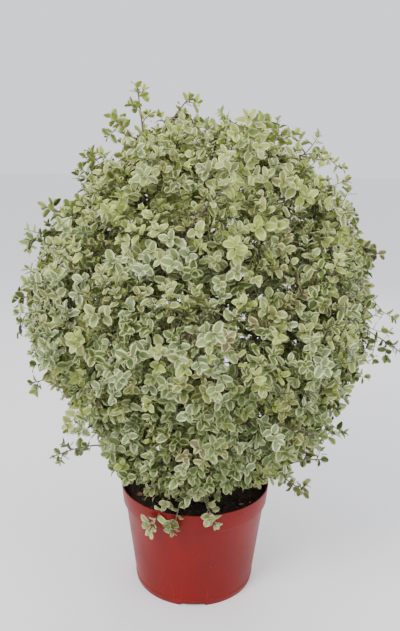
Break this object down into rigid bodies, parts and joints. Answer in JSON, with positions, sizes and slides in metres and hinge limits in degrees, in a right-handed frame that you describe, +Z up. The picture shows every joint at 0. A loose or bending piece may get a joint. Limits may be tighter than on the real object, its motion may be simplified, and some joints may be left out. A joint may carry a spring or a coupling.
{
  "type": "variegated kohuhu shrub in a nursery pot",
  "caption": "Dense rounded evergreen shrub with small wavy cream-edged leaves on thin dark twigs, standing in a round tapered plastic nursery pot of potting mix.",
  "frame": {"origin": "middle of the pot's flat underside, on the floor", "axes": "+Z up along the pot's axis, -Y towards the viewer in the picture, +X to the viewer's right"},
  "size_m": [0.7596, 0.7096, 1.0016],
  "materials": {
    "pot_plastic": "satin moulded terracotta-red plastic",
    "soil_mix": "dark moist potting mix",
    "bark": "thin dark grey-brown bark",
    "foliage": "grey-green leaves with cream margins"
  },
  "bodies": {
    "root": {"pot": "pot_plastic", "soil": "soil_mix", "trunk": "bark", "bough_top_1": "bark", "bough_top_2": "bark", "bough_top_3": "bark", "bough_middle_1": "bark", "bough_middle_2": "bark", "bough_middle_3": "bark", "bough_middle_4": "bark", "bough_middle_5": "bark", "bough_middle_6": "bark", "bough_low_1": "bark", "bough_low_2": "bark", "bough_low_3": "bark", "bough_low_4": "bark", "bough_low_5": "bark", "bough_high_1": "bark", "bough_high_2": "bark", "bough_high_3": "bark", "bough_high_4": "bark", "bough_high_5": "bark", "bough_side_1": "bark", "bough_side_2": "bark", "bough_side_3": "bark", "bough_side_4": "bark", "bough_side_5": "bark", "bough_side_6": "bark", "foliage_top_1": "foliage", "foliage_top_2": "foliage", "foliage_top_3": "foliage", "foliage_middle_1": "foliage", "foliage_middle_2": "foliage", "foliage_middle_3": "foliage", "foliage_middle_4": "foliage", "foliage_middle_5": "foliage", "foliage_middle_6": "foliage", "foliage_low_1": "foliage", "foliage_low_2": "foliage", "foliage_low_3": "foliage", "foliage_low_4": "foliage", "foliage_low_5": "foliage", "foliage_high_1": "foliage", "foliage_high_2": "foliage", "foliage_high_3": "foliage", "foliage_high_4": "foliage", "foliage_high_5": "foliage", "foliage_side_1": "foliage", "foliage_side_2": "foliage", "foliage_side_3": "foliage", "foliage_side_4": "foliage", "foliage_side_5": "foliage", "foliage_side_6": "foliage"}
  },
  "joints": []
}
